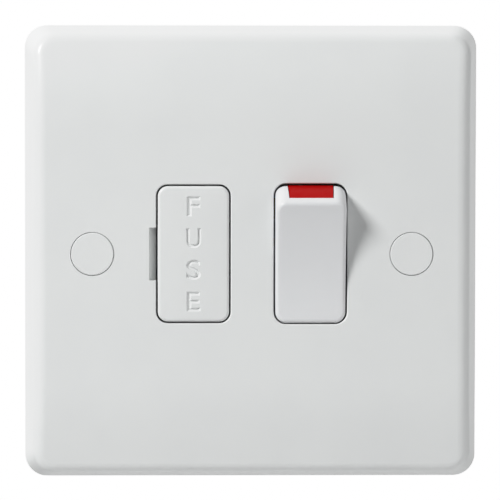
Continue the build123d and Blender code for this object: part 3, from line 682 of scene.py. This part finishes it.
@dataclass
class FixingScrews:
    """The two long screws that hold the plate to the wall box."""

    thread_radius: float = 1.75 * MM
    core_radius: float = 1.42 * MM
    pitch: float = 0.6 * MM
    thread_start: float = -0.4 * MM
    tip_taper: float = 0.6 * MM
    tip_step: float = 0.35 * MM
    neck_radius: float = 1.55 * MM
    head_rim: float = 0.15 * MM
    slot_width: float = 0.9 * MM
    slot_depth: float = 0.8 * MM
    ridge_sink: float = 0.1 * MM
    ridge_foot: float = 0.86
    ridge_crest: float = 0.14
    smooth_angle: float = 35.0
    sides: int = 40
    steps: int = 28

    def build(self, paint: Paintbox) -> List[bpy.types.Object]:
        """Model one threaded screw and copy it to the other side.

        Args:
            paint: The finishes.

        Returns:
            The two screws.
        """
        low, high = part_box("fixing_screws")
        head_radius = (high.z - low.z) / 2
        spacing = high.x - low.x - 2 * head_radius
        place = Vector((spacing / 2, 0, 0))
        right = self.screw("right_fixing_screw", place, low.y, high.y, head_radius)
        left = Bench.copy(right, "left_fixing_screw", (-spacing, 0, 0))
        for screw in (right, left):
            Bench.smooth(screw, self.smooth_angle)
            paint.coat(screw, Finish.STEEL)
            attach(screw, Body.UNIT.value)
            LOG.info("built %s", screw.name)
        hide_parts("fixing_screws")
        return [right, left]

    def screw(
        self, name: str, place: Vector, head_y: float, tip_y: float, head_radius: float
    ) -> bpy.types.Object:
        """Model one screw along Y.

        Args:
            name: The piece's name.
            place: Its axis, as a point at Y = 0.
            head_y: The front of its head.
            tip_y: Its tip.
            head_radius: The radius of its head.

        Returns:
            The screw.
        """
        shank = self.core(name, head_y, tip_y, head_radius)
        Bench.combine(shank, self.ridge(tip_y), "UNION")
        bpy.ops.object.select_all(action="DESELECT")
        bpy.ops.mesh.primitive_cube_add(size=1, location=(0, head_y, 0))
        slot = Bench.added("screwdriver_slot")
        slot.scale = (self.slot_width, 2 * self.slot_depth, 4 * head_radius)
        Bench.settle(slot)
        Bench.combine(shank, slot, "DIFFERENCE")
        shank.location = place
        Bench.settle(shank)
        return shank

    def core(self, name: str, head_y: float, tip_y: float, head_radius: float) -> bpy.types.Object:
        """Model the head, neck and core by extruding a disc along Y.

        Args:
            name: The piece's name.
            head_y: The front of the head.
            tip_y: The tip.
            head_radius: The radius of the head.

        Returns:
            The closed core on the Y axis.
        """
        rim_y = head_y + self.head_rim
        sections = [
            (rim_y, head_radius),
            (rim_y + head_radius - self.neck_radius, self.neck_radius),
            (self.thread_start, self.neck_radius),
            (self.thread_start, self.core_radius),
            (tip_y - self.tip_taper, self.core_radius),
            (tip_y, self.core_radius - self.tip_step),
        ]
        bpy.ops.object.select_all(action="DESELECT")
        bpy.ops.mesh.primitive_circle_add(
            vertices=self.sides,
            radius=head_radius,
            fill_type="NGON",
            location=(0, head_y, 0),
            rotation=(math.pi / 2, 0, 0),
        )
        core = Bench.added(name)
        Bench.settle(core)
        bpy.ops.object.mode_set(mode="EDIT")
        bpy.ops.mesh.select_mode(type="FACE")
        bpy.ops.mesh.select_all(action="SELECT")
        last_y, last_radius = head_y, head_radius
        for y, radius in sections:
            bpy.ops.mesh.extrude_region_move(TRANSFORM_OT_translate={"value": (0, y - last_y, 0)})
            share = radius / last_radius
            bpy.ops.transform.resize(value=(share, 1, share), center_override=(0, y, 0))
            last_y, last_radius = y, radius
        Bench.close()
        Bench.mend(core)
        return core

    def ridge(self, tip_y: float) -> bpy.types.Object:
        """Model the thread's helical ridge about the Y axis.

        Args:
            tip_y: The screw's tip.

        Returns:
            The closed ridge.
        """
        turns = int((tip_y - self.tip_taper - self.thread_start) / self.pitch) - 1
        foot = self.core_radius - self.ridge_sink
        centre = ((foot + self.thread_radius) / 2, self.thread_start + self.pitch / 2, 0)
        bpy.ops.object.select_all(action="DESELECT")
        bpy.ops.mesh.primitive_plane_add(size=1, location=centre)
        ridge = Bench.added("thread_ridge")
        ridge.scale = (self.thread_radius - foot, self.ridge_foot * self.pitch, 1)
        Bench.settle(ridge)
        Bench.choose_points(ridge, lambda spot: spot.x > centre[0])
        bpy.ops.transform.resize(value=(1, self.ridge_crest, 1), center_override=centre)
        Bench.close()
        Bench.pick(ridge)
        wind = ridge.modifiers.new("wind", "SCREW")
        wind.axis = "Y"
        wind.screw_offset = self.pitch
        wind.iterations = turns
        wind.steps = self.steps
        wind.render_steps = self.steps
        wind.use_merge_vertices = False
        bpy.ops.object.modifier_apply(modifier=wind.name)
        Bench.edit(ridge, "EDGE")
        bpy.ops.mesh.select_all(action="SELECT")
        bpy.ops.mesh.remove_doubles(threshold=MERGE_REACH)
        bpy.ops.mesh.select_all(action="DESELECT")
        bpy.ops.mesh.select_non_manifold(
            extend=False, use_wire=False, use_multi_face=False, use_verts=False
        )
        bpy.ops.mesh.edge_face_add()
        Bench.close()
        Bench.mend(ridge)
        return ridge


@dataclass
class RearHousing:
    """The moulded housing with its raised marks, terminals and screws."""

    mark_height: float = 2.6 * MM
    word_height: float = 1.9 * MM
    raised: float = 0.2 * MM
    sunk: float = 0.01 * MM
    mark_row: float = 10.2 * MM
    word_row: float = 6.2 * MM
    pole_marks: Tuple[Tuple[str, float], ...] = (("L", 0.0), ("N", 15.0 * MM))
    earth_x: float = -20.8 * MM
    earth_line: float = 0.36 * MM
    earth_stem: float = 1.4 * MM
    earth_bars: Tuple[Span, ...] = ((0.0, 2.6 * MM), (-0.75 * MM, 1.7 * MM), (-1.5 * MM, 0.8 * MM))
    word_x: float = 7.5 * MM
    row_words: Tuple[Tuple[str, int], ...] = (("SUPPLY", 1), ("LOAD", -1))

    def build(self, paint: Paintbox) -> List[bpy.types.Object]:
        """Raise the terminal marks on the housing's back.

        Args:
            paint: The finishes.

        Returns:
            The marks.
        """
        marks = []
        back_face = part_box("earth_strap")[0].y
        centre_y = back_face + self.raised / 2 - self.sunk
        for word, row in self.row_words:
            name = word.lower()
            style = Lettering(self.word_height, self.raised)
            spot = (self.word_x, centre_y, row * self.word_row)
            marks.append(style.solid(word, f"{name}_word", spot, Facing.REAR))
            style = Lettering(self.mark_height, self.raised)
            for mark, x in self.pole_marks:
                spot = (x, centre_y, row * self.mark_row)
                marks.append(style.solid(mark, f"{name}_{mark}_mark", spot, Facing.REAR))
            spot = (self.earth_x, centre_y, row * self.mark_row)
            marks.append(self.earth_mark(f"{name}_earth_mark", spot))
        for mark in marks:
            paint.coat(mark, Finish.HOUSING)
            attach(mark, Body.UNIT.value)
            LOG.info("built %s", mark.name)
        return marks

    def earth_mark(self, name: str, centre: Point) -> bpy.types.Object:
        """Model the three-bar earth sign.

        Args:
            name: The piece's name.
            centre: The middle of the sign.

        Returns:
            The sign as one solid mesh.
        """
        bpy.ops.object.select_all(action="DESELECT")
        bpy.ops.mesh.primitive_cube_add(size=1, location=(0, 0, self.earth_stem / 2))
        sign = Bench.added(name)
        sign.scale = (self.earth_line, self.raised, self.earth_stem)
        Bench.settle(sign)
        for z, width in self.earth_bars:
            bpy.ops.object.select_all(action="DESELECT")
            bpy.ops.mesh.primitive_cube_add(size=1, location=(0, 0, z))
            bar = Bench.added("earth_bar")
            bar.scale = (width, self.raised, self.earth_line)
            Bench.settle(bar)
            if z == 0.0:
                Bench.combine(sign, bar, "UNION")
            else:
                Bench.pick(sign)
                bar.select_set(True)
                bpy.ops.object.join()
        sign.location = centre
        Bench.settle(sign)
        return sign

    def dress(self, paint: Paintbox) -> None:
        """Give the housing, terminals and screws their finishes."""
        paint.coat_nodes(["rear_housing"], Finish.HOUSING)
        for row, _ in self.row_words:
            poles = ("earth", "live", "neutral")
            paint.coat_nodes([f"{row.lower()}_{pole}_terminal" for pole in poles], Finish.BRASS)
        paint.coat_nodes(["earth_strap"], Finish.BRASS)
        paint.coat_nodes(["terminal_screws", "assembly_screws"], Finish.STEEL)


@dataclass
class Studio:
    """The floor, the soft light and the camera."""

    camera_distance: float = 0.85
    camera_azimuth: float = -1.6
    camera_elevation: float = 3.3
    camera_roll: float = 0.08
    lens: float = 324.2
    sensor: float = 36.0
    clip: Span = (0.05, 20.0)
    target: Point = (-0.38 * MM, -9.5 * MM, 0.755 * MM)
    floor_z: float = -0.22
    floor_radius: float = 0.32
    floor_sides: int = 96
    floor_colour: Colour = (0.78, 0.78, 0.78)
    floor_shade: Colour = (0.75, 0.75, 0.755)
    floor_cloud: float = 14.0
    floor_roughness: float = 0.8
    front_air: float = 0.03
    rear_air: float = 1.11
    rear_way: Point = (-0.15, 0.80, 0.58)
    rear_edge: Span = (0.15, 1.0)
    side_air: float = 1.45
    side_way: Point = (0.91, -0.41, -0.06)
    side_edge: Span = (0.5, 1.17)
    backdrop: float = 1.35
    shoulder: Tuple[Span, ...] = (
        (0.76, 0.76), (0.82, 0.80), (0.88, 0.83), (0.95, 0.86), (1.05, 0.89), (1.2, 0.94)
    )
    key_way: Point = (-0.66, -0.545, 0.52)
    key_distance: float = 1.0
    key_size: float = 0.34
    key_power: float = 10.25

    def build(self) -> None:
        """Set up the floor, world, lights and camera."""
        self.floor()
        self.world()
        self.light("key_light", self.key_way, self.key_distance, self.key_size, self.key_power)
        self.camera()
        self.develop()

    def floor(self) -> None:
        """Lay a plain pale floor below the unit."""
        bpy.ops.object.select_all(action="DESELECT")
        bpy.ops.mesh.primitive_circle_add(
            vertices=self.floor_sides,
            radius=self.floor_radius,
            fill_type="NGON",
            location=(0, 0, self.floor_z),
        )
        disc = Bench.added("pale_floor")
        Bench.settle(disc)
        graph = Surface("pale_floor_paint")
        cloud = graph.noise(self.floor_cloud)
        graph.feed("Base Color", graph.mix(cloud, self.floor_colour, self.floor_shade))
        graph.feed("Roughness", self.floor_roughness)
        disc.data.materials.append(graph.material)

    def world(self) -> None:
        """Grade the air: dim in front, bright above, behind and at one side, on a white backdrop."""
        world = bpy.data.worlds.new("studio_air")
        bpy.context.scene.world = world
        world.use_nodes = True
        graph = Graph(world.node_tree)
        way = graph.node("ShaderNodeTexCoord", output="Generated")
        front, rear, side, drop = (
            graph.node("ShaderNodeBackground", {}, {"Color": (1, 1, 1, 1), "Strength": level})
            for level in (self.front_air, self.rear_air, self.side_air, self.backdrop)
        )
        behind = graph.spread(self.toward(graph, way, self.rear_way), *self.rear_edge)
        beside = graph.spread(self.toward(graph, way, self.side_way), *self.side_edge)
        seen = graph.node("ShaderNodeLightPath", output="Is Camera Ray")
        air = graph.node("ShaderNodeMixShader", {}, {0: behind, 1: front, 2: rear})
        air = graph.node("ShaderNodeMixShader", {}, {0: beside, 1: air, 2: side})
        air = graph.node("ShaderNodeMixShader", {}, {0: seen, 1: air, 2: drop})
        graph.end("ShaderNodeOutputWorld", air.socket)

    @staticmethod
    def toward(graph: Graph, way: Signal, target: Point) -> Signal:
        """Measure how far a direction points towards a target.

        Args:
            graph: The graph to add to.
            way: The direction.
            target: The target's direction.

        Returns:
            The cosine of the angle between them.
        """
        aim = Vector(target).normalized()
        return graph.node(
            "ShaderNodeVectorMath", {"operation": "DOT_PRODUCT"}, {0: way, 1: aim}, "Value"
        )

    def light(self, name: str, way: Point, distance: float, size: float, power: float) -> None:
        """Hang one soft light that faces the unit.

        Args:
            name: The light's name.
            way: The direction from the unit to the light.
            distance: How far away it hangs, in metres.
            size: The width of its disc, in metres.
            power: Its power in watts.
        """
        lamp = bpy.data.lights.new(name, "AREA")
        lamp.shape = "DISK"
        lamp.size = size
        lamp.energy = power
        holder = bpy.data.objects.new(name, lamp)
        bpy.context.scene.collection.objects.link(holder)
        direction = Vector(way).normalized()
        holder.location = direction * distance
        holder.rotation_euler = direction.to_track_quat("Z", "Y").to_euler()

    def camera(self) -> None:
        """Place the camera at the photograph's angle."""
        lens = bpy.data.cameras.new("front_camera")
        lens.lens = self.lens
        lens.sensor_width = self.sensor
        lens.clip_start, lens.clip_end = self.clip
        holder = bpy.data.objects.new("front_camera", lens)
        bpy.context.scene.collection.objects.link(holder)
        azimuth = math.radians(self.camera_azimuth)
        elevation = math.radians(self.camera_elevation)
        direction = Vector(
            (
                math.sin(azimuth) * math.cos(elevation),
                -math.cos(azimuth) * math.cos(elevation),
                math.sin(elevation),
            )
        )
        holder.location = Vector(self.target) + direction * self.camera_distance
        roll = Quaternion((0, 0, 1), math.radians(self.camera_roll))
        holder.rotation_euler = (direction.to_track_quat("Z", "Y") @ roll).to_euler()
        bpy.context.scene.camera = holder

    def develop(self) -> None:
        """Soften the brightest tones up to the backdrop's white, as a photograph does."""
        view = bpy.context.scene.view_settings
        view.view_transform = "Standard"
        view.use_curve_mapping = True
        view.curve_mapping.white_level = (self.backdrop, self.backdrop, self.backdrop)
        tones = view.curve_mapping.curves[3].points
        for light, shown in self.shoulder:
            tones.new(light / self.backdrop, shown)
        for point in tones:
            point.handle_type = "VECTOR"
        view.curve_mapping.update()


def main() -> None:
    """Build and dress the unit, then set up the studio."""
    logging.basicConfig(level=logging.INFO, format="%(name)s: %(message)s")
    paint = Paintbox()
    FrontPlate().dress(paint)
    carrier = FuseCarrier()
    carrier.build(paint)
    carrier.dress(paint)
    Switch().dress(paint)
    FixingScrews().build(paint)
    housing = RearHousing()
    housing.build(paint)
    housing.dress(paint)
    Studio().build()


if __name__ == "__main__":
    main()
